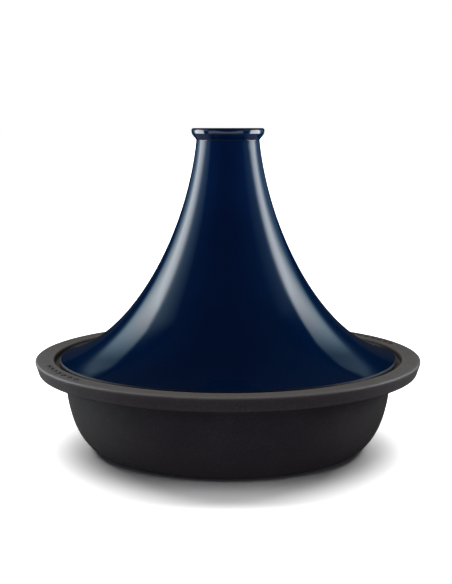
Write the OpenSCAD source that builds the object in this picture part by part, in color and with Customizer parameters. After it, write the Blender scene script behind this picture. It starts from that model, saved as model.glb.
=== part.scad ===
// Tagine pot: a shallow cast-iron dish with a flanged rim, and a tall trumpet-shaped lid that
// sits in the rim. Millimetres, +Z up. The origin is on the table, under the middle of the dish.

/* [Dish] */
// Outer diameter of the rim
rim_d = 300; // [270:1:340]
// Height of the dish, from the table to the top of the rim
dish_h = 71; // [66:1:90]
// Width of the rim's flat top, from its outer edge to the recess that holds the lid
rim_w = 14.8; // [12:0.2:17]
// Height of the rim's outer face
rim_t = 10.6; // [9:0.2:13]
// How far the outer face of the rim draws in towards its lower edge
rim_draft = 3.4; // [1:0.1:4.5]
// Depth of the recess that the lid's edge sits in
seat_depth = 5; // [4.4:0.2:5.6]
// Distance from the rim's outer edge in to the wall below it
wall_inset = 23.3; // [21:0.1:25]
// Thickness of the dish's wall and floor
wall_t = 5; // [4:0.2:6]
// Distance from the rim's outer edge in to the end of the flat underside
foot_inset = 53.2; // [48:0.2:60]
// Width of the ring that the dish stands on
foot_ring_w = 12; // [8:1:20]
// Height of the underside inside that ring above the table
foot_recess = 1.2; // [0.8:0.1:2]

/* [Lid] */
// Height of the lid's top above the rim
lid_rise = 176.5; // [150:0.5:200]
// Gap between the lid's edge and the wall of the recess
lid_gap = 3.6; // [2:0.2:5]
// Thickness of the lid's shell
shell_t = 6; // [5:0.2:7]
// Lean of the neck from upright, in degrees
neck_lean = 5.8; // [4:0.1:8]
// Slope of the lid's skirt at its edge, in degrees above level
skirt_slope = 12.3; // [10:0.1:15]
// Length of the curve's handle at the neck
neck_pull = 70; // [60:1:80]
// Length of the curve's handle at the skirt
skirt_pull = 58.3; // [50:0.1:68]

/* [Collar] */
// Radius of the neck, at the crease under the collar
neck_r = 24.4; // [23.6:0.1:27]
// How far the collar stands out past the neck
collar_out = 3.7; // [2.5:0.1:5]
// Height of the collar, from the crease to the top
collar_h = 9; // [8:0.2:12]
// Radius of the well's mouth
well_r = 21; // [19.5:0.1:21.4]
// Radius of the well's floor
well_floor_r = 17.5; // [15:0.1:18]
// Depth of the well
well_depth = 28; // [20:1:32]

/* [Rim ornament] */
// Number of raised lozenges in each of the two rows
lozenges = 7; // [3:2:9]
// Angle between neighbouring lozenges, in degrees
lozenge_pitch = 3.6; // [3.4:0.1:4.5]
// Length of a lozenge along the rim
lozenge_len = 7; // [4:0.2:7.4]
// Width of a lozenge across the rim
lozenge_w = 5; // [3:0.2:7]
// Height of a lozenge above the rim
lozenge_h = 0.6; // [0.3:0.1:1]
// Direction of the middle of the first row, in degrees; the second row is opposite
ornament_dir = 30; // [0:1:180]

/* [Hidden] */
$fn = 128;

rim_r = rim_d / 2;
recess_r = rim_r - rim_w;
lid_r = recess_r - lid_gap;
wall_r = rim_r - wall_inset;
foot_r = rim_r - foot_inset;
under_z = dish_h - rim_t;
seat_z = dish_h - seat_depth;
top_z = dish_h + lid_rise;
crease_z = top_z - collar_h;
collar_r = neck_r + collar_out;

rim_edge_round = 1.4;      // rounding of the rim's upper edges
rim_under_round = 2;       // rounding of the rim's lower edge
under_fall = 2;            // fall of the rim's underside from its edge to the wall
under_fillet = 5;          // hollow corner between that underside and the wall
seat_fillet = 0.8;         // hollow corner round the ledge that the lid rests on
ledge_round = 2;           // rounding of the ledge's inner edge
foot_round = 0.35;         // rounding of the foot ring's inner edge
wall_pull = 16;            // handle of the wall's curve where it stands upright
foot_pull = 22;            // handle of the wall's curve where it meets the foot

rest_gap = 0.3;            // clearance between the lid and the ledge
edge_drop = 0.4;           // how far the lid's edge lies below the top of the rim
edge_top_round = 1.6;      // rounding of the lid's edge, above
edge_low_round = 1.2;      // rounding of the lid's edge, below
seat_rise = 0.6;           // height over which the shell's inside turns into the flat ring
seat_turn = 1.2;           // width of that turn
seat_round = 0.8;          // rounding of the ring's inner edge
collar_round = 1.8;        // rounding of the collar's outer edge
lip_round = 2.2;           // rounding of the collar's inner edge
collar_side = 4.4;         // height of the collar's side, above its sloping underside
collar_taper = 0.8;        // how far that side draws in on the way down
collar_soften = 2.5;       // rounding between the side and the sloping underside
crease_round = 0.8;        // hollow corner at the crease
well_fillet = 4;           // hollow corner round the well's floor
dome_round = 9;            // hollow corner at the top of the lid's inside

ornament_r = rim_r - rim_w / 2;
sink = 1;                  // how deep an ornament reaches into the rim
curve_steps = 30;
arc_steps = 6;

// A step of length d in the direction a, in degrees from level outwards
function step(d, a) = d * [cos(a), sin(a)];

// A point of the curve that leaves a along the handle u and reaches b along the handle v
function curve_point(a, u, v, b, t) =
    pow(1 - t, 3) * a + 3 * pow(1 - t, 2) * t * (a + u)
    + 3 * (1 - t) * pow(t, 2) * (b + v) + pow(t, 3) * b;

// The direction of that curve at the same point, as a unit vector
function curve_dir(a, u, v, b, t) =
    let (d = pow(1 - t, 2) * u + 2 * (1 - t) * t * (b + v - a - u) - pow(t, 2) * v)
    d / norm(d);

function curve(a, u, v, b) =
    [for (i = [0:curve_steps]) curve_point(a, u, v, b, i / curve_steps)];

// The same curve at the distance d to its left
function beside(a, u, v, b, d) =
    [for (i = [0:curve_steps])
        let (t = i / curve_steps, along = curve_dir(a, u, v, b, t))
        curve_point(a, u, v, b, t) + d * [-along[1], along[0]]];

// How far a corner over a leaning side stands out past the widest point of its rounding
function proud(r, lean) = r * ((1 + sin(lean)) / cos(lean) - 1);

function reversed(list) = [for (i = [len(list) - 1:-1:0]) list[i]];

// The arc of radius r that rounds the corner p between its neighbours a and b
function rounded(a, p, b, r) =
    let (
        u = (a - p) / norm(a - p),
        v = (b - p) / norm(b - p),
        half = acos(u * v) / 2,
        centre = p + (u + v) / norm(u + v) * r / sin(half),
        from = p + u * r / tan(half) - centre,
        to = p + v * r / tan(half) - centre,
        a0 = atan2(from[1], from[0]),
        turn = atan2(to[1], to[0]) - a0,
        sweep = turn > 180 ? turn - 360 : turn < -180 ? turn + 360 : turn
    )
    [for (i = [0:arc_steps]) centre + step(r, a0 + sweep * i / arc_steps)];

// A corner-by-corner stretch of outline: each entry is [point, rounding], and the stretch
// runs between the fixed points that come before and after it
function corners(before, list, after) =
    [for (i = [0:len(list) - 1])
        each rounded(
            i == 0 ? before : list[i - 1][0],
            list[i][0],
            i == len(list) - 1 ? after : list[i + 1][0],
            list[i][1])];

module dish_section() {
    foot = [foot_r, 0];
    foot_handle = step(foot_pull, 0);
    wall_handle = step(wall_pull, -90);
    wall_top = [wall_r, under_z - under_fall - under_fillet - 1];
    outer = curve(foot, foot_handle, wall_handle, wall_top);
    inner = reversed(beside(foot, foot_handle, wall_handle, wall_top, wall_t));
    ring_r = foot_r - foot_ring_w;
    rim_lip_r = rim_r + proud(rim_edge_round, atan(rim_draft / rim_t));

    underside = [
        [[ring_r, foot_recess], foot_round],
        [[ring_r, 0], foot_round]
    ];
    rim = [
        [[wall_r, under_z - under_fall], under_fillet],
        [[rim_lip_r - rim_draft, under_z], rim_under_round],
        [[rim_lip_r, dish_h], rim_edge_round],
        [[recess_r, dish_h], rim_edge_round],
        [[recess_r, seat_z], seat_fillet],
        [[wall_r - wall_t, seat_z], ledge_round]
    ];

    polygon(concat(
        [[0, foot_recess]],
        corners([0, foot_recess], underside, foot),
        outer,
        corners(wall_top, rim, inner[0]),
        inner,
        [[0, wall_t]]
    ));
}

// A row of raised lozenges that follows the middle of the rim
module ornament_row() {
    for (i = [0:lozenges - 1])
        rotate((i - (lozenges - 1) / 2) * lozenge_pitch)
            translate([ornament_r, 0, dish_h - sink])
                linear_extrude(sink + lozenge_h)
                    polygon([
                        [lozenge_w / 2, 0], [0, lozenge_len / 2],
                        [-lozenge_w / 2, 0], [0, -lozenge_len / 2]
                    ]);
}

module dish() {
    color("#2c2b30") {
        rotate_extrude() dish_section();
        for (side = [0, 180])
            rotate(ornament_dir + side) ornament_row();
    }
}

module lid_section() {
    neck = [neck_r, crease_z];
    neck_handle = step(neck_pull, -90 + neck_lean);
    edge = [lid_r, dish_h - edge_drop];
    edge_handle = step(skirt_pull, 180 - skirt_slope);
    bottom_z = seat_z + rest_gap;
    well_z = top_z - well_depth;
    ceiling_z = well_z - shell_t;

    outer = curve(neck, neck_handle, edge_handle, edge);

    // The inside follows the outside at the shell's thickness, from the seat to the dome
    inner = [for (p = reversed(beside(neck, neck_handle, edge_handle, edge, -shell_t)))
        if (p[1] > bottom_z + seat_rise && p[1] < ceiling_z - dome_round) p];
    inner_top = inner[len(inner) - 1];

    collar_lip_r = collar_r + proud(collar_round, atan(collar_taper / collar_side));
    collar = [
        [[well_floor_r, well_z], well_fillet],
        [[well_r, top_z], lip_round],
        [[collar_lip_r, top_z], collar_round],
        [[collar_lip_r - collar_taper, top_z - collar_side], collar_soften],
        [neck, crease_round]
    ];
    rest = [
        [edge, edge_top_round],
        [[lid_r, bottom_z], edge_low_round],
        [[inner[0][0] + seat_turn, bottom_z], seat_round]
    ];
    dome = [[[inner_top[0] - (ceiling_z - inner_top[1]) * tan(neck_lean), ceiling_z], dome_round]];

    polygon(concat(
        [[0, well_z]],
        corners([0, well_z], collar, outer[1]),
        [for (i = [1:curve_steps - 1]) outer[i]],
        corners(outer[curve_steps - 1], rest, inner[0]),
        inner,
        corners(inner_top, dome, [0, ceiling_z]),
        [[0, ceiling_z]]
    ));
}

module lid() {
    color("#0a1c44") rotate_extrude() lid_section();
}

dish();
lid();
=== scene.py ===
"""Looks of the tagine pot: a flanged dish in matte black enamel and a tall lid in navy glaze.

Lengths are metres, angles degrees. A profile is a list of (distance from the axis, height) points.
"""

import math

import bmesh
import bpy
from mathutils import Matrix, Vector


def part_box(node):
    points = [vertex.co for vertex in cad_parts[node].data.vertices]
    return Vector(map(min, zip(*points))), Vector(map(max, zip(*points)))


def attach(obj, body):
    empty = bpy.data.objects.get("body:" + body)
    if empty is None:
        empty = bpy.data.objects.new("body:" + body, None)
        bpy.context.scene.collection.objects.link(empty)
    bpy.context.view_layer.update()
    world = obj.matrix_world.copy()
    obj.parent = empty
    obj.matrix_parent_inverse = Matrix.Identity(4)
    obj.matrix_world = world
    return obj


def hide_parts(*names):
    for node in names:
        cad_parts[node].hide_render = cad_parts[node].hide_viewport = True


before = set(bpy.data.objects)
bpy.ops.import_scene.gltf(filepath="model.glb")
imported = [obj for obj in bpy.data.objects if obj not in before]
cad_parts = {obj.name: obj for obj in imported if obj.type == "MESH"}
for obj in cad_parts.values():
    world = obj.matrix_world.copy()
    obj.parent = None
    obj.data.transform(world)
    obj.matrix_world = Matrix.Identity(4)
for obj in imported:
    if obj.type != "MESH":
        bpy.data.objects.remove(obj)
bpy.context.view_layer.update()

# ---------------------------------------------------------------- sizes, as in part.scad

LOZENGE_H = 0.0006

RIM_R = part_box("dish")[1].x
DISH_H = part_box("dish")[1].z - LOZENGE_H
LID_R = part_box("lid")[1].x
LID_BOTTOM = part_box("lid")[0].z
LID_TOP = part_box("lid")[1].z

RIM_W = 0.0148
RIM_T = 0.0106
RIM_DRAFT = 0.0034
SEAT_DEPTH = 0.005
WALL_INSET = 0.0233
WALL_T = 0.005
FOOT_INSET = 0.0532
FOOT_RING_W = 0.012
FOOT_RECESS = 0.0012
RIM_EDGE_ROUND = 0.0014
RIM_UNDER_ROUND = 0.002
UNDER_FALL = 0.002
UNDER_FILLET = 0.005
UNDER_STRAIGHT = 0.001
SEAT_FILLET = 0.0008
LEDGE_ROUND = 0.002
FOOT_ROUND = 0.00035
WALL_PULL = 0.016
FOOT_PULL = 0.022

SHELL_T = 0.006
NECK_R = 0.0244
NECK_LEAN = 5.8
SKIRT_SLOPE = 12.3
NECK_PULL = 0.070
SKIRT_PULL = 0.0583
COLLAR_OUT = 0.0037
COLLAR_H = 0.009
COLLAR_ROUND = 0.0018
COLLAR_SIDE = 0.0044
COLLAR_TAPER = 0.0008
COLLAR_SOFTEN = 0.0025
CREASE_ROUND = 0.0008
WELL_R = 0.021
WELL_FLOOR_R = 0.0175
WELL_DEPTH = 0.028
WELL_FILLET = 0.004
LIP_ROUND = 0.0022
DOME_ROUND = 0.009
EDGE_DROP = 0.0004
EDGE_TOP_ROUND = 0.0016
EDGE_LOW_ROUND = 0.0012
SEAT_RISE = 0.0006
SEAT_TURN = 0.0012
SEAT_ROUND = 0.0008

LOZENGES = 7
LOZENGE_PITCH = 3.6
LOZENGE_LEN = 0.007
LOZENGE_W = 0.005
ORNAMENT_DIRS = (30, 210)

# The lozenges' detail, finer than in part.scad: how deep they reach into the rim, the rounding of
# their tips, and the share of their outline that is left at each height of their sides.
LOZENGE_SINK = 0.0004
LOZENGE_TIP_ROUND = 0.0005
LOZENGE_LEVELS = (
    (1.0, -LOZENGE_SINK),
    (1.0, 0.35 * LOZENGE_H),
    (0.93, 0.72 * LOZENGE_H),
    (0.84, 0.93 * LOZENGE_H),
    (0.72, LOZENGE_H),
)

# ---------------------------------------------------------------- fineness of the meshes

# Faces round the axis, and stretches in a curved side and in a rounded corner.
AROUND = 240
CURVE_STEPS = 100
ARC_STEPS = 10

# A stretch longer than this gets points in between, of which two lie close beside its ends.
LONGEST_STEP = 0.0026
BESIDE_CORNER = 0.0004

# Nearer than this is the same place, or the axis itself.
SAME_PLACE = 1e-7
ON_AXIS = 1e-6

# The first and last points of the lid's curve, which its crease and its edge replace.
CREASE_POINTS = 3
EDGE_POINTS = 2

# How far along a profile a bend tells on the surface beside it.
BEND_SPREAD = 0.0011
BEND_REACH = 0.004


# ---------------------------------------------------------------- profiles


def step(length, angle):
    """The way from one point of a profile to another, by its length and direction."""
    a = math.radians(angle)
    return Vector((length * math.cos(a), length * math.sin(a)))


def curve(a, u, v, b, beside=0.0):
    """A cubic curve with the handles u at a and v at b, or a line that far to its left."""
    points = []
    for i in range(CURVE_STEPS + 1):
        t = i / CURVE_STEPS
        s = 1 - t
        p = s**3 * a + 3 * s * s * t * (a + u) + 3 * s * t * t * (b + v) + t**3 * b
        along = (s * s * u + 2 * s * t * (b + v - a - u) - t * t * v).normalized()
        points.append(p + beside * Vector((-along.y, along.x)))
    return points


def rounded(a, p, b, radius):
    """The arc that replaces the corner p between a and b."""
    u = (a - p).normalized()
    v = (b - p).normalized()
    half = math.acos(max(-1.0, min(1.0, u.dot(v)))) / 2
    centre = p + (u + v).normalized() * radius / math.sin(half)
    start = p + u * radius / math.tan(half) - centre
    end = p + v * radius / math.tan(half) - centre
    first = math.atan2(start.y, start.x)
    turn = math.atan2(end.y, end.x) - first
    turn = (turn + math.pi) % (2 * math.pi) - math.pi
    return [
        centre + step(radius, math.degrees(first + turn * i / ARC_STEPS))
        for i in range(ARC_STEPS + 1)
    ]


def corners(before, run, after):
    """Arcs for a run of [corner, radius] between two other points."""
    spots = [before] + [Vector(p) for p, _ in run] + [after]
    points = []
    for i, (_, radius) in enumerate(run):
        points += rounded(spots[i], spots[i + 1], spots[i + 2], radius)
    return points


def proud(radius, lean):
    """How far a leaning corner's rounding draws its widest point in."""
    return radius * ((1 + math.sin(lean)) / math.cos(lean) - 1)


def filled_in(points):
    """The same line with points added along each long stretch and close to its two ends."""
    dense = [points[0]]
    for a, b in zip(points, points[1:]):
        gap = (b - a).length
        if gap < SAME_PLACE:
            continue
        shares = []
        if gap > LONGEST_STEP:
            pieces = math.ceil(gap / LONGEST_STEP)
            near = BESIDE_CORNER / gap
            shares = [near] + [i / pieces for i in range(1, pieces)] + [1 - near]
        dense += [a.lerp(b, share) for share in shares] + [b]
    return dense


def dish_profile():
    """Half of the dish's section, from the middle of the underside round to the middle of the floor."""
    foot = Vector((RIM_R - FOOT_INSET, 0))
    wall_r = RIM_R - WALL_INSET
    under = DISH_H - RIM_T
    seat = DISH_H - SEAT_DEPTH
    recess_r = RIM_R - RIM_W
    ring_r = foot.x - FOOT_RING_W
    lip_r = RIM_R + proud(RIM_EDGE_ROUND, math.atan(RIM_DRAFT / RIM_T))
    wall_top = Vector((wall_r, under - UNDER_FALL - UNDER_FILLET - UNDER_STRAIGHT))
    handles = step(FOOT_PULL, 0), step(WALL_PULL, -90)
    outer = curve(foot, *handles, wall_top)
    inner = curve(foot, *handles, wall_top, beside=WALL_T)[::-1]
    middle = Vector((0, FOOT_RECESS))
    underside = [
        [(ring_r, FOOT_RECESS), FOOT_ROUND],
        [(ring_r, 0), FOOT_ROUND],
    ]
    rim = [
        [(wall_r, under - UNDER_FALL), UNDER_FILLET],
        [(lip_r - RIM_DRAFT, under), RIM_UNDER_ROUND],
        [(lip_r, DISH_H), RIM_EDGE_ROUND],
        [(recess_r, DISH_H), RIM_EDGE_ROUND],
        [(recess_r, seat), SEAT_FILLET],
        [(wall_r - WALL_T, seat), LEDGE_ROUND],
    ]
    return filled_in(
        [middle]
        + corners(middle, underside, foot)
        + outer
        + corners(wall_top, rim, inner[0])
        + inner
        + [Vector((0, WALL_T))]
    )


def lid_profile():
    """Half of the lid's section, from the middle of the well's floor round to the middle of the ceiling."""
    well_z = LID_TOP - WELL_DEPTH
    ceiling = well_z - SHELL_T
    neck = Vector((NECK_R, LID_TOP - COLLAR_H))
    edge = Vector((LID_R, DISH_H - EDGE_DROP))
    handles = step(NECK_PULL, NECK_LEAN - 90), step(SKIRT_PULL, 180 - SKIRT_SLOPE)
    outer = curve(neck, *handles, edge)
    inner = [
        p
        for p in reversed(curve(neck, *handles, edge, beside=-SHELL_T))
        if LID_BOTTOM + SEAT_RISE < p.y < ceiling - DOME_ROUND
    ]
    collar_r = NECK_R + COLLAR_OUT
    lip_r = collar_r + proud(COLLAR_ROUND, math.atan(COLLAR_TAPER / COLLAR_SIDE))
    collar = [
        [(WELL_FLOOR_R, well_z), WELL_FILLET],
        [(WELL_R, LID_TOP), LIP_ROUND],
        [(lip_r, LID_TOP), COLLAR_ROUND],
        [(lip_r - COLLAR_TAPER, LID_TOP - COLLAR_SIDE), COLLAR_SOFTEN],
        [neck, CREASE_ROUND],
    ]
    rest = [
        [edge, EDGE_TOP_ROUND],
        [(LID_R, LID_BOTTOM), EDGE_LOW_ROUND],
        [(inner[0].x + SEAT_TURN, LID_BOTTOM), SEAT_ROUND],
    ]
    cone = outer[CREASE_POINTS:-EDGE_POINTS]
    inner_top = inner[-1]
    dome_r = inner_top.x - (ceiling - inner_top.y) * math.tan(math.radians(NECK_LEAN))
    middle = Vector((0, well_z))
    top = Vector((0, ceiling))
    return filled_in(
        [middle]
        + corners(middle, collar, cone[0])
        + cone
        + corners(cone[-1], rest, inner[0])
        + inner
        + corners(inner_top, [[(dome_r, ceiling), DOME_ROUND]], top)
        + [top]
    )


# ---------------------------------------------------------------- meshes


def bends(profile):
    """How far each point lies on an outer edge, and how far in a hollow corner, from 0 to 1."""
    area = sum(a.x * b.y - b.x * a.y for a, b in zip(profile, profile[1:] + profile[:1]))
    side = 1 if area > 0 else -1
    places = [0.0]
    for a, b in zip(profile, profile[1:]):
        places.append(places[-1] + (b - a).length)
    sharp = [0.0]
    for a, p, b in zip(profile, profile[1:], profile[2:]):
        sine = (p - a).normalized().cross((b - p).normalized())
        sharp.append(side * math.asin(max(-1.0, min(1.0, sine))))
    sharp.append(0.0)
    edge = []
    hollow = []
    for at in places:
        near = [
            (s, math.exp(-((q - at) ** 2) / (2 * BEND_SPREAD**2)))
            for s, q in zip(sharp, places)
            if abs(q - at) < BEND_REACH
        ]
        total = sum(s * w for s, w in near)
        edge.append(min(1.0, max(0.0, total)))
        hollow.append(min(1.0, max(0.0, -total)))
    return edge, hollow


def mesh_object(name, mesh, material):
    """A new object in the scene, of that mesh and material."""
    thing = bpy.data.objects.new(name, mesh)
    bpy.context.scene.collection.objects.link(thing)
    mesh.materials.append(material)
    return thing


def turned(name, profile, material):
    """The profile turned about the axis, with its bends kept as vertex attributes."""
    edge, hollow = bends(profile)
    verts = []
    rings = []
    weights = []
    for p, e, h in zip(profile, edge, hollow):
        count = 1 if p.x < ON_AXIS else AROUND
        rings.append(range(len(verts), len(verts) + count))
        for i in range(count):
            a = 2 * math.pi * i / AROUND
            verts.append((p.x * math.cos(a), p.x * math.sin(a), p.y))
            weights.append((e, h))
    faces = []
    for low, high in zip(rings, rings[1:]):
        for i in range(AROUND):
            j = (i + 1) % AROUND
            if len(low) == 1:
                faces.append((low[0], high[j], high[i]))
            elif len(high) == 1:
                faces.append((low[i], low[j], high[0]))
            else:
                faces.append((low[i], low[j], high[j], high[i]))
    mesh = bpy.data.meshes.new(name)
    mesh.from_pydata(verts, [], faces)
    for k, label in enumerate(("edge", "hollow")):
        attribute = mesh.attributes.new(label, "FLOAT", "POINT")
        attribute.data.foreach_set("value", [w[k] for w in weights])
    shape = bmesh.new()
    shape.from_mesh(mesh)
    bmesh.ops.recalc_face_normals(shape, faces=shape.faces)
    shape.to_mesh(mesh)
    shape.free()
    mesh.shade_smooth()
    return mesh_object(name, mesh, material)


def softened_lozenge():
    """The lozenge's outline with its four points rounded."""
    tips = [
        Vector((LOZENGE_W / 2, 0)),
        Vector((0, LOZENGE_LEN / 2)),
        Vector((-LOZENGE_W / 2, 0)),
        Vector((0, -LOZENGE_LEN / 2)),
    ]
    outline = []
    for i, tip in enumerate(tips):
        outline += rounded(tips[i - 1], tip, tips[(i + 1) % 4], LOZENGE_TIP_ROUND)[::2]
    return outline


def lozenge_rows(name, directions, material):
    """Rows of low cast lozenges on the rim, each with a flat top and softened sides."""
    shape = bmesh.new()
    middle_r = RIM_R - RIM_W / 2
    outline = softened_lozenge()
    count = len(outline)
    places = [(direction, i) for direction in directions for i in range(LOZENGES)]
    for direction, i in places:
        angle = math.radians(direction + (i - (LOZENGES - 1) / 2) * LOZENGE_PITCH)
        place = Matrix.Rotation(angle, 4, "Z") @ Matrix.Translation((middle_r, 0, DISH_H))
        rings = [
            [shape.verts.new(place @ Vector((x * share, y * share, z))) for x, y in outline]
            for share, z in LOZENGE_LEVELS
        ]
        for low, high in zip(rings, rings[1:]):
            for k in range(count):
                n = (k + 1) % count
                shape.faces.new((low[k], low[n], high[n], high[k]))
        shape.faces.new(rings[-1])
        shape.faces.new(rings[0][::-1])
    mesh = bpy.data.meshes.new(name)
    bmesh.ops.recalc_face_normals(shape, faces=shape.faces)
    shape.to_mesh(mesh)
    shape.free()
    for label in ("edge", "hollow"):
        mesh.attributes.new(label, "FLOAT", "POINT")
    mesh.shade_smooth()
    return mesh_object(name, mesh, material)


# ---------------------------------------------------------------- materials


class Nodes:
    """Short ways to make and join shader nodes."""

    def __init__(self, name):
        self.material = bpy.data.materials.new(name)
        self.material.use_nodes = True
        self.tree = self.material.node_tree
        self.tree.nodes.clear()
        self.output = self.tree.nodes.new("ShaderNodeOutputMaterial")

    def add(self, kind, settings=None, **inputs):
        """A new node. Its inputs are named with _ for each space."""
        node = self.tree.nodes.new(kind)
        for key, value in (settings or {}).items():
            setattr(node, key, value)
        for key, value in inputs.items():
            self.set(node, key.replace("_", " "), value)
        return node

    def set(self, node, socket, value):
        """Gives an input a value, or the output of another node."""
        target = node.inputs[socket]
        if isinstance(value, bpy.types.NodeSocket):
            self.tree.links.new(value, target)
        else:
            target.default_value = value

    def place(self):
        """X, Y and Z of the spot on the surface."""
        split = self.add("ShaderNodeSeparateXYZ")
        self.set(split, "Vector", self.add("ShaderNodeTexCoord").outputs["Object"])
        return [split.outputs[axis] for axis in "XYZ"]

    def noise(self, size, detail, seed=0.0):
        """Noise whose features are about that size."""
        place = self.add("ShaderNodeTexCoord").outputs["Object"]
        shifted = self.add("ShaderNodeVectorMath", {"operation": "ADD"})
        self.tree.links.new(place, shifted.inputs[0])
        shifted.inputs[1].default_value = (seed, seed * 0.7, seed * 1.3)
        texture = self.add("ShaderNodeTexNoise", Scale=1 / size, Detail=detail)
        self.tree.links.new(shifted.outputs[0], texture.inputs["Vector"])
        return texture.outputs["Fac"]

    def attribute(self, label):
        """A vertex attribute of the mesh."""
        return self.add("ShaderNodeAttribute", {"attribute_name": label}).outputs["Fac"]

    def remap(self, value, low, high, to_low, to_high):
        """The value, taken from one range to another and held within it."""
        node = self.add("ShaderNodeMapRange", {"clamp": True})
        for socket, v in zip(range(5), (value, low, high, to_low, to_high)):
            self.set(node, socket, v)
        return node.outputs["Result"]

    def ramp(self, value, *stops):
        """A colour for the value, from stops of (value, colour)."""
        node = self.add("ShaderNodeValToRGB")
        elements = node.color_ramp.elements
        while len(elements) < len(stops):
            elements.new(0.5)
        for element, (position, colour) in zip(elements, stops):
            element.position = position
            element.color = (*colour, 1)
        self.set(node, "Fac", value)
        return node.outputs["Color"]

    def mix(self, share, a, b):
        """The colour that lies that share of the way from a to b."""
        node = self.add("ShaderNodeMix", {"data_type": "RGBA"})
        self.set(node, 0, share)
        for socket, value in ((6, a), (7, b)):
            self.set(node, socket, (*value, 1) if isinstance(value, tuple) else value)
        return node.outputs[2]

    def scaled(self, colour, share):
        """The colour times a share."""
        node = self.add("ShaderNodeVectorMath", {"operation": "SCALE"}, Vector=colour, Scale=share)
        return node.outputs[0]

    def maths(self, operation, *values):
        """The result of a math node."""
        node = self.add("ShaderNodeMath", {"operation": operation})
        for socket, value in enumerate(values):
            self.set(node, socket, value)
        return node.outputs[0]

    def falling(self, value, at, soft):
        """From 1 to 0 around a value, by a smooth curve."""
        offset = self.maths("DIVIDE", self.maths("SUBTRACT", value, at), soft)
        return self.maths("DIVIDE", 1.0, self.maths("ADD", 1.0, self.maths("EXPONENT", offset)))

    def rising(self, value, at, soft):
        """From 0 to 1 around a value, by a smooth curve."""
        return self.maths("SUBTRACT", 1.0, self.falling(value, at, soft))

    def beyond(self, value, at):
        """How far past that value, else 0."""
        return self.maths("MAXIMUM", self.maths("SUBTRACT", value, at), 0.0)

    def fading(self, distance, reach):
        """From 1 at no distance, to a third of that for each reach."""
        return self.maths("EXPONENT", self.maths("DIVIDE", distance, -reach))

    def bump(self, height, distance, strength, under=None):
        """The normal of a relief, which may lie on another one."""
        node = self.add("ShaderNodeBump", Distance=distance, Strength=strength)
        self.set(node, "Height", height)
        if under is not None:
            self.set(node, "Normal", under)
        return node.outputs["Normal"]

    def finish(self, shader):
        """The finished material, with that shader."""
        self.tree.links.new(shader.outputs[0], self.output.inputs["Surface"])
        return self.material

    def surface(self, **inputs):
        """The finished material, with a principled surface."""
        return self.finish(self.add("ShaderNodeBsdfPrincipled", **inputs))


GLAZE_POOLED = (0.0005, 0.0080, 0.030)

# Painted light: the rim's side is painted paler, as if more light fell on it: its outermost band, up to
# just below the rim's top.
LIT_SIDE_PALER = 1.45
LIT_SIDE_W = 0.0052
LIT_SIDE_DROP = 0.0010

# Painted light: the lid's glaze is painted darker low down and paler high up, between these heights above
# the rim.
LIT_PALER_FROM = 0.030
LIT_PALER_TO = 0.165
LIT_PALER_SHADES = (0.80, 1.30)

# Its outer edges are paler too, from this height above the rim up.
THIN_EDGE_RISE = 0.003

# On an outer edge the glaze or the enamel is paler by this share.
ENAMEL_WORN = 0.30
GLAZE_THIN = 0.45
COLLAR_THIN = 0.30


def enamel(name, shade=1.0):
    """Matte black enamel on cast iron: fine grain, faint mottling, paler on edges, and painted light that
    makes the rim's side paler.
    """
    n = Nodes(name)
    grain = n.noise(size=0.0009, detail=3.0)
    mottle = n.noise(size=0.022, detail=4.0, seed=3.1)
    colour = n.ramp(
        grain,
        (0.30, (0.044, 0.0392, 0.0395)),
        (0.56, (0.068, 0.0606, 0.0608)),
        (0.78, (0.105, 0.0935, 0.0938)),
    )
    mottled = n.remap(mottle, 0.35, 0.7, 0.0, 0.35)
    colour = n.mix(mottled, colour, (0.041, 0.0365, 0.0366))
    worn = n.maths("MULTIPLY", n.attribute("edge"), ENAMEL_WORN)
    colour = n.mix(worn, colour, (0.112, 0.1000, 0.1005))
    # Painted light: the rim's outermost side band is made paler, as if lit more.
    x, y, z = n.place()
    squares = n.maths("ADD", n.maths("MULTIPLY", x, x), n.maths("MULTIPLY", y, y))
    outermost = n.rising(n.maths("SQRT", squares), RIM_R - LIT_SIDE_W, 0.0003)
    painted_side_light = n.maths("MULTIPLY", outermost, n.falling(z, DISH_H - LIT_SIDE_DROP, 0.0002))
    colour = n.mix(painted_side_light, colour, n.scaled(colour, LIT_SIDE_PALER))
    relief = n.bump(n.noise(size=0.006, detail=2.0, seed=7.7), 0.00025, 0.25)
    return n.surface(
        # shade darkens the whole colour; on the lozenges this is painted shade.
        Base_Color=n.scaled(colour, shade),
        Roughness=n.remap(mottle, 0.3, 0.75, 0.56, 0.68),
        IOR=1.5,
        Normal=n.bump(grain, 0.00016, 0.60, under=relief),
    )


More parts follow.
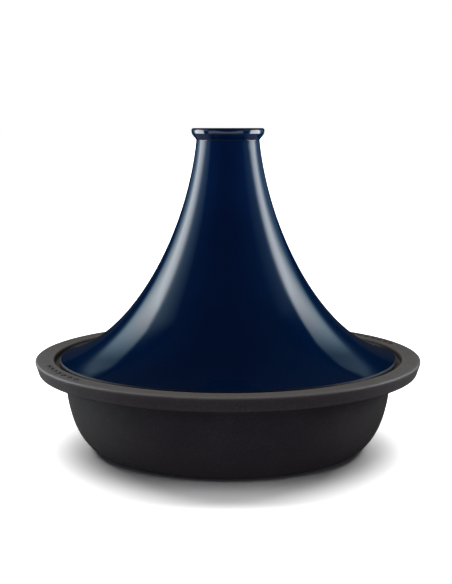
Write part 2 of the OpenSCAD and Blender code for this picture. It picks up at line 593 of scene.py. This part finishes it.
def glaze(name):
    """Deep navy glaze: painted light that makes it paler towards the top, paler on outer edges, pooled in
    hollows, hardly rippled.
    """
    n = Nodes(name)
    cloud = n.noise(size=0.05, detail=3.0, seed=1.7)
    fleck = n.noise(size=0.0016, detail=2.0, seed=5.3)
    colour = n.ramp(cloud, (0.30, (0.0012, 0.0150, 0.056)), (0.70, (0.0016, 0.0188, 0.070)))
    flecked = n.remap(fleck, 0.62, 0.78, 0.0, 0.22)
    colour = n.mix(flecked, colour, (0.0006, 0.0090, 0.038))
    colour = n.mix(n.maths("MULTIPLY", n.attribute("hollow"), 0.6), colour, GLAZE_POOLED)
    height = n.place()[2]
    # Painted light: paler towards the top, darker low down, as if lit that way.
    painted_height_light = n.remap(height, DISH_H + LIT_PALER_FROM, DISH_H + LIT_PALER_TO, *LIT_PALER_SHADES)
    colour = n.scaled(colour, painted_height_light)
    above_rim = n.rising(height, DISH_H + THIN_EDGE_RISE, 0.0005)
    edge = n.maths("MULTIPLY", n.attribute("edge"), above_rim)
    colour = n.mix(n.maths("MULTIPLY", edge, GLAZE_THIN), colour, (0.0060, 0.045, 0.110))
    return n.surface(
        Base_Color=colour,
        Roughness=n.remap(cloud, 0.3, 0.7, 0.055, 0.080),
        IOR=1.5,
        Normal=n.bump(n.noise(size=0.011, detail=1.0, seed=9.1), 0.0002, 0.06),
    )


def collar_glaze(name):
    """Glaze on the collar's outside, thin over the pale clay, so its shine is stronger and warmer."""
    n = Nodes(name)
    cloud = n.noise(size=0.012, detail=3.0, seed=6.1)
    colour = n.ramp(cloud, (0.30, (0.0018, 0.0190, 0.068)), (0.70, (0.0030, 0.0250, 0.086)))
    colour = n.mix(n.maths("MULTIPLY", n.attribute("hollow"), 0.8), colour, GLAZE_POOLED)
    edge = n.maths("MULTIPLY", n.attribute("edge"), COLLAR_THIN)
    colour = n.mix(edge, colour, (0.0080, 0.045, 0.100))
    return n.surface(
        Base_Color=colour,
        Roughness=0.06,
        IOR=1.5,
        Specular_IOR_Level=0.95,
        Specular_Tint=(1.0, 0.90, 0.78, 1.0),
    )


def wiped_glaze(name):
    """The lid's lower edge, where the glaze was wiped thin and fired to a dull dark brown."""
    n = Nodes(name)
    grain = n.noise(size=0.0012, detail=4.0, seed=4.4)
    colour = n.ramp(
        grain,
        (0.30, (0.006, 0.008, 0.018)),
        (0.55, (0.014, 0.012, 0.016)),
        (0.80, (0.040, 0.028, 0.022)),
    )
    normal = n.bump(grain, 0.00008, 0.4)
    return n.surface(Base_Color=colour, Roughness=0.55, Specular_IOR_Level=0.2, Normal=normal)


def stoneware(name):
    """The bare clay where the lid's foot ring was wiped clean of glaze."""
    n = Nodes(name)
    grain = n.noise(size=0.0008, detail=4.0, seed=2.2)
    colour = n.ramp(
        grain,
        (0.30, (0.33, 0.26, 0.19)),
        (0.55, (0.47, 0.39, 0.30)),
        (0.80, (0.56, 0.49, 0.40)),
    )
    return n.surface(Base_Color=colour, Roughness=0.85, Normal=n.bump(grain, 0.00012, 0.6))


def matte_paint(name, shade):
    """Pale matte paint that can be looked through from behind, so that the pot shows from below."""
    n = Nodes(name)
    level = n.remap(n.noise(size=0.3, detail=2.0), 0.3, 0.7, shade, shade * 1.02)
    colour = n.add("ShaderNodeCombineColor")
    for channel in range(3):
        n.set(colour, channel, level)
    front = n.add("ShaderNodeBsdfDiffuse", Color=colour.outputs[0])
    shader = n.add("ShaderNodeMixShader")
    n.set(shader, 0, n.add("ShaderNodeNewGeometry").outputs["Backfacing"])
    n.set(shader, 1, front.outputs[0])
    n.set(shader, 2, n.add("ShaderNodeBsdfTransparent").outputs[0])
    return n.finish(shader)


# ---------------------------------------------------------------- the pot

# Painted shade: the lozenges' enamel is painted darker than the dish's, standing in for the shade on them.
PAINTED_SHADE_SHARE = 0.35

# The lid's finishes, in the order of its materials. Bare clay lies on the flat ring underneath, up to
# this height and on faces that face down, and the wiped glaze lies this far in from the lid's edge.
LID_FINISHES = ("navy", "bare", "wiped", "collar")
BARE_RING_H = 0.0005
FACING_DOWN = -0.6
WIPED_W = 0.0013


def lid_finish_at(face):
    """Which of the lid's finishes lies on a face."""
    from_axis = math.hypot(face.center.x, face.center.y)
    if face.center.z < LID_BOTTOM + BARE_RING_H and face.normal.z < FACING_DOWN:
        return "bare"
    if from_axis > LID_R - WIPED_W and face.center.z < DISH_H:
        return "wiped"
    if face.center.z > LID_TOP - COLLAR_H and from_axis > WELL_R + LIP_ROUND:
        return "collar"
    return "navy"


dish = turned("tagine_dish", dish_profile(), enamel("enamel_black"))
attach(dish, "dish")
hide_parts("dish")

# Painted shade: the lozenges' enamel is made darker.
lozenges = lozenge_rows("tagine_rim_lozenges", ORNAMENT_DIRS, enamel("enamel_painted_shade", PAINTED_SHADE_SHARE))
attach(lozenges, "dish")

lid = turned("tagine_lid", lid_profile(), glaze("glaze_navy"))
lid.data.materials.append(stoneware("stoneware_bare"))
lid.data.materials.append(wiped_glaze("glaze_wiped"))
lid.data.materials.append(collar_glaze("glaze_collar"))
for lid_face in lid.data.polygons:
    lid_face.material_index = LID_FINISHES.index(lid_finish_at(lid_face))
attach(lid, "lid")
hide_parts("lid")

# ---------------------------------------------------------------- camera

SENSOR_W = 36
LENS = 71.495
CAMERA_TILT = 8.035
CAMERA_PLACE = (-0.0015, -0.8985, DISH_H + 0.1763)

camera = bpy.data.objects.new("camera", bpy.data.cameras.new("camera"))
camera.data.sensor_width = SENSOR_W
camera.data.lens = LENS
camera.location = CAMERA_PLACE
camera.rotation_euler = (math.radians(90 - CAMERA_TILT), 0, 0)
camera.data.clip_start = 0.05
camera.data.clip_end = 50
bpy.context.scene.collection.objects.link(camera)
bpy.context.scene.camera = camera

# ---------------------------------------------------------------- stage

WHITE = (1.0, 1.0, 1.0)

FLOOR_SIDE = 60
FLOOR_SHADE = 0.80

# A dark floor that only the pot's gloss meets, and a pale table in front that only the lid mirrors.
MIRRORED_SIDE = 1.0
MIRRORED_SHADE = 0.22
MIRRORED_DROP = 0.0002
TABLE_W = 1.8
TABLE_D = 0.60
TABLE_PLACE = (0, -0.46, -0.0004)
TABLE_COLOUR = (0.80, 0.95, 1.15)
TABLE_GLOW = 0.9

# The two strip lights. Each has, in this order:
# - a corner of its band, and the ways across and along the band
# - the band's width and the end of its length
# - how soft its inner and outer sides are, and from where the inner side is crisper
# - how steeply the inner side slants across, and from where
# - its brightness, and the share of that which its faint end keeps
# - where it starts to fade, how much later it does further out, how fast it fades, and how much
#   faster it does further out
# - the brightness of the spill beside it, and where that ends, how softly, and how far out it reaches
STRIP_LEFT = {
    "start": (-0.492, -0.036, 0.289),
    "across": (0.518, 0.207, -0.830),
    "along": (0.489, 0.724, 0.486),
    "width": 0.258,
    "end": 0.340,
    "inner_soft": 0.026,
    "outer_soft": 0.009,
    "crisp_from": 0.204,
    "slant": 1.22,
    "slant_from": 0.228,
    "bright": 5.95,
    "kept": 0.048,
    "fade_from": 0.183,
    "fade_lean": 0.085,
    "fade_reach": 0.0518,
    "fade_narrowing": 0.115,
    "spill": 0.90,
    "spill_end": 0.218,
    "spill_soft": 0.018,
    "spill_reach": 0.40,
}
STRIP_RIGHT = {
    "start": (0.373, -0.050, 0.293),
    "across": (-0.520, 0.187, -0.833),
    "along": (-0.284, 0.883, 0.375),
    "width": 0.208,
    "end": 0.290,
    "inner_soft": 0.016,
    "outer_soft": 0.008,
    "crisp_from": 0.140,
    "slant": 0.85,
    "slant_from": 0.200,
    "bright": 6.2,
    "kept": 0.036,
    "fade_from": 0.103,
    "fade_lean": 0.22,
    "fade_reach": 0.044,
    "fade_narrowing": 0.15,
    "spill": 0.30,
    "spill_end": 0.106,
    "spill_soft": 0.010,
    "spill_reach": 0.39,
}

# What both strips share: where the band begins and how softly it begins and ends, how soft the spill
# is beside the band, how much crisper the inner side becomes and around where, the fastest fade,
# and the colours of the light from faint to full levels.
STRIP_BEGIN = -0.08
STRIP_END_SOFT = 0.006
SPILL_SOFT = 0.01
CRISP_SHARE = 0.4
CRISPING = (0.5, 1.1)
FADE_SHORTEST = 0.012
FAINT_TO_FULL = (0.5, 2.5)
STRIP_FAINT_COLOUR = (0.72, 1.12, 1.28)
STRIP_COLOUR = (0.92, 1.0, 1.04)
SECOND_BOUNCE = 2

# The strips' faces reach past their bands, for the soft edges and the spill.
FACE_INNER = -0.9
FACE_OUTER = 0.08
FACE_BEGIN = -0.40
FACE_END = 0.03

# The fill that matte surfaces get changes its strength between two heights of the sky, and glossy
# ones mirror a nearly black room.
FILL_COLOUR = (0.93, 0.92, 0.98)
FILL_ABOVE = 0.155
FILL_BELOW = 0.165
FILL_CHANGE = (-0.25, 0.35)
GLOSS_COLOUR = (0.9, 0.95, 1.0)
GLOSS_DARK = 0.02


def even_glow(name, colour, strength):
    """A face that glows evenly."""
    n = Nodes(name)
    return n.finish(n.add("ShaderNodeEmission", Color=(*colour, 1.0), Strength=strength))


def strip_glow(name, lamp):
    """A strip light's face: a band with soft edges that fades towards its end, and dim spill beside it.

    The band lies between 0 and the lamp's width in X, and runs along Y. It starts to fade later and
    fades faster on its outer side. Near the end its inner edge slants across. It is dark in the
    reflection of a reflection.
    """
    n = Nodes(name)
    x, y, _ = n.place()
    crisping = [share * lamp["crisp_from"] for share in CRISPING]
    crisper = n.remap(y, *crisping, 1.0, CRISP_SHARE)
    slanted = n.maths("MULTIPLY", n.beyond(y, lamp["slant_from"]), lamp["slant"])
    from_edge = n.maths("SUBTRACT", x, slanted)
    band = n.rising(from_edge, 0.0, n.maths("MULTIPLY", lamp["inner_soft"], crisper))
    band = n.maths("MULTIPLY", band, n.falling(x, lamp["width"], lamp["outer_soft"]))
    fade_from = n.maths("MULTIPLY_ADD", x, lamp["fade_lean"], lamp["fade_from"])
    fade_reach = n.maths("MULTIPLY_ADD", x, -lamp["fade_narrowing"], lamp["fade_reach"])
    fade_reach = n.maths("MAXIMUM", fade_reach, FADE_SHORTEST)
    faded = n.maths("DIVIDE", n.beyond(y, fade_from), fade_reach)
    kept = n.maths("MAXIMUM", n.fading(faded, 1.0), lamp["kept"])
    bright = n.maths("MULTIPLY", kept, lamp["bright"])
    bright = n.maths("MULTIPLY", bright, n.rising(y, STRIP_BEGIN, STRIP_END_SOFT))
    bright = n.maths("MULTIPLY", bright, n.falling(y, lamp["end"], STRIP_END_SOFT))
    level = n.maths("MULTIPLY", band, bright)
    spill = n.fading(n.beyond(n.maths("MULTIPLY", x, -1.0), 0.0), lamp["spill_reach"])
    spill = n.maths("MULTIPLY", spill, n.falling(x, 0.0, SPILL_SOFT))
    spill = n.maths("MULTIPLY", spill, n.falling(y, lamp["spill_end"], lamp["spill_soft"]))
    level = n.maths("ADD", level, n.maths("MULTIPLY", spill, lamp["spill"]))
    colour = n.mix(n.remap(level, *FAINT_TO_FULL, 0.0, 1.0), STRIP_FAINT_COLOUR, STRIP_COLOUR)
    depth = n.add("ShaderNodeLightPath").outputs["Ray Depth"]
    level = n.maths("MULTIPLY", level, n.maths("LESS_THAN", depth, SECOND_BOUNCE - 0.5))
    return n.finish(n.add("ShaderNodeEmission", Color=colour, Strength=level))


def slab(name, x, y, material):
    """A flat rectangle between two X and two Y values, facing its own +Z."""
    mesh = bpy.data.meshes.new(name)
    outline = [(x[0], y[0], 0), (x[1], y[0], 0), (x[1], y[1], 0), (x[0], y[1], 0)]
    mesh.from_pydata(outline, [], [(0, 1, 2, 3)])
    thing = mesh_object(name, mesh, material)
    return thing


def middled(size):
    """The two ends of a length that has its middle at 0."""
    return -size / 2, size / 2


def hide_from(thing, *rays):
    """Makes a thing invisible to these kinds of rays."""
    for ray in rays:
        setattr(thing, "visible_" + ray, False)


def light_only(lamp, things):
    """Lets a lamp reach these things and no others."""
    collection = bpy.data.collections.new(lamp.name + "_lights")
    for thing in things:
        collection.objects.link(thing)
    lamp.light_linking.receiver_collection = collection


def strip_light(name, lamp):
    """A strip that the lid mirrors as one long highlight."""
    x = FACE_INNER, lamp["width"] + FACE_OUTER
    y = FACE_BEGIN, lamp["end"] + FACE_END
    strip = slab(name, x, y, strip_glow(name + "_glow", lamp))
    across = Vector(lamp["across"]).normalized()
    facing = across.cross(Vector(lamp["along"])).normalized()
    along = facing.cross(across)
    turn = Matrix((across, along, facing)).transposed()
    strip.matrix_world = Matrix.Translation(lamp["start"]) @ turn.to_4x4()
    hide_from(strip, "camera", "shadow")
    light_only(strip, (dish, lozenges, lid))


def broad_light(name, direction, spread, strength, colour, receivers):
    """A far, broad light from a direction, that only reaches the given pieces."""
    light = bpy.data.lights.new(name, "SUN")
    light.energy = strength
    light.angle = math.radians(spread)
    light.color = colour
    lamp = bpy.data.objects.new(name, light)
    bpy.context.scene.collection.objects.link(lamp)
    lamp.location = direction
    lamp.rotation_mode = "QUATERNION"
    lamp.rotation_quaternion = Vector(direction).to_track_quat("Z", "Y")
    light_only(lamp, receivers)
    return lamp


def studio_world():
    """White behind the pot, a soft fill for matte surfaces, and dark for gloss."""
    world = bpy.data.worlds.new("studio")
    world.use_nodes = True
    tree = world.node_tree
    tree.nodes.clear()

    def background(colour, strength):
        node = tree.nodes.new("ShaderNodeBackground")
        node.inputs["Color"].default_value = (*colour, 1)
        node.inputs["Strength"].default_value = strength
        return node

    def mixed(share, a, b):
        node = tree.nodes.new("ShaderNodeMixShader")
        tree.links.new(share, node.inputs[0])
        tree.links.new(a.outputs[0], node.inputs[1])
        tree.links.new(b.outputs[0], node.inputs[2])
        return node

    path = tree.nodes.new("ShaderNodeLightPath")
    place = tree.nodes.new("ShaderNodeTexCoord")
    height = tree.nodes.new("ShaderNodeSeparateXYZ")
    tree.links.new(place.outputs["Generated"], height.inputs[0])
    above = tree.nodes.new("ShaderNodeMapRange")
    tree.links.new(height.outputs["Z"], above.inputs["Value"])
    above.inputs["From Min"].default_value = FILL_CHANGE[0]
    above.inputs["From Max"].default_value = FILL_CHANGE[1]
    fill_low = background(FILL_COLOUR, FILL_BELOW)
    fill_high = background(FILL_COLOUR, FILL_ABOVE)
    fill = mixed(above.outputs["Result"], fill_low, fill_high)
    matte = mixed(path.outputs["Is Glossy Ray"], fill, background(GLOSS_COLOUR, GLOSS_DARK))
    shown = mixed(path.outputs["Is Camera Ray"], matte, background(WHITE, 1.0))
    output = tree.nodes.new("ShaderNodeOutputWorld")
    tree.links.new(shown.outputs[0], output.inputs["Surface"])
    return world


floor_paint = matte_paint("floor_paint", FLOOR_SHADE)
floor = slab("floor", middled(FLOOR_SIDE), middled(FLOOR_SIDE), floor_paint)
hide_from(floor, "glossy", "diffuse")

dark_paint = matte_paint("mirror_floor_paint", MIRRORED_SHADE)
mirror_floor = slab("mirror_floor", middled(MIRRORED_SIDE), middled(MIRRORED_SIDE), dark_paint)
mirror_floor.location.z = -MIRRORED_DROP
hide_from(mirror_floor, "camera", "diffuse", "shadow")

table_light = even_glow("table_glow", TABLE_COLOUR, TABLE_GLOW)
table = slab("pale_table", middled(TABLE_W), middled(TABLE_D), table_light)
table.location = TABLE_PLACE
hide_from(table, "camera", "diffuse", "shadow")
light_only(table, (lid,))

strip_light("strip_left", STRIP_LEFT)
strip_light("strip_right", STRIP_RIGHT)

# Name, direction it comes from, spread, strength, colour, and the pieces that it reaches.
BROAD_LIGHTS = (
    ("top_left", (-0.55, 0.10, 1.0), 60, 1.50, (1.0, 0.975, 0.965), (mirror_floor, dish, lozenges)),
    ("top", (0.20, -0.20, 1.0), 45, 0.80, (1.0, 1.0, 0.70), (mirror_floor, dish, lozenges)),
    ("front", (0, -1.0, 0.2), 50, 0.20, (0.40, 0.20, 1.10), (dish, lozenges)),
    ("side_right", (1.0, 0.10, 0.35), 45, 0.22, (1.05, 0.90, 0.95), (dish, lozenges)),
    ("floor_left", (-0.45, 0.43, 0.88), 42, 4.9, WHITE, (floor,)),
    ("floor_right", (0.45, 0.43, 0.88), 42, 4.9, WHITE, (floor,)),
    ("floor_front", (0, -0.38, 0.95), 40, 1.5, WHITE, (floor,)),
)
for broad in BROAD_LIGHTS:
    broad_light(*broad)

# A light that deepens the glaze's blue and leaves no highlight of its own.
glaze_depth = broad_light("glaze_depth", (0, -1.0, 0.16), 16, 0.40, (0.6, 0.60, 1.5), (lid,))
hide_from(glaze_depth, "glossy")

bpy.context.scene.world = studio_world()
bpy.context.scene.view_settings.view_transform = "Standard"
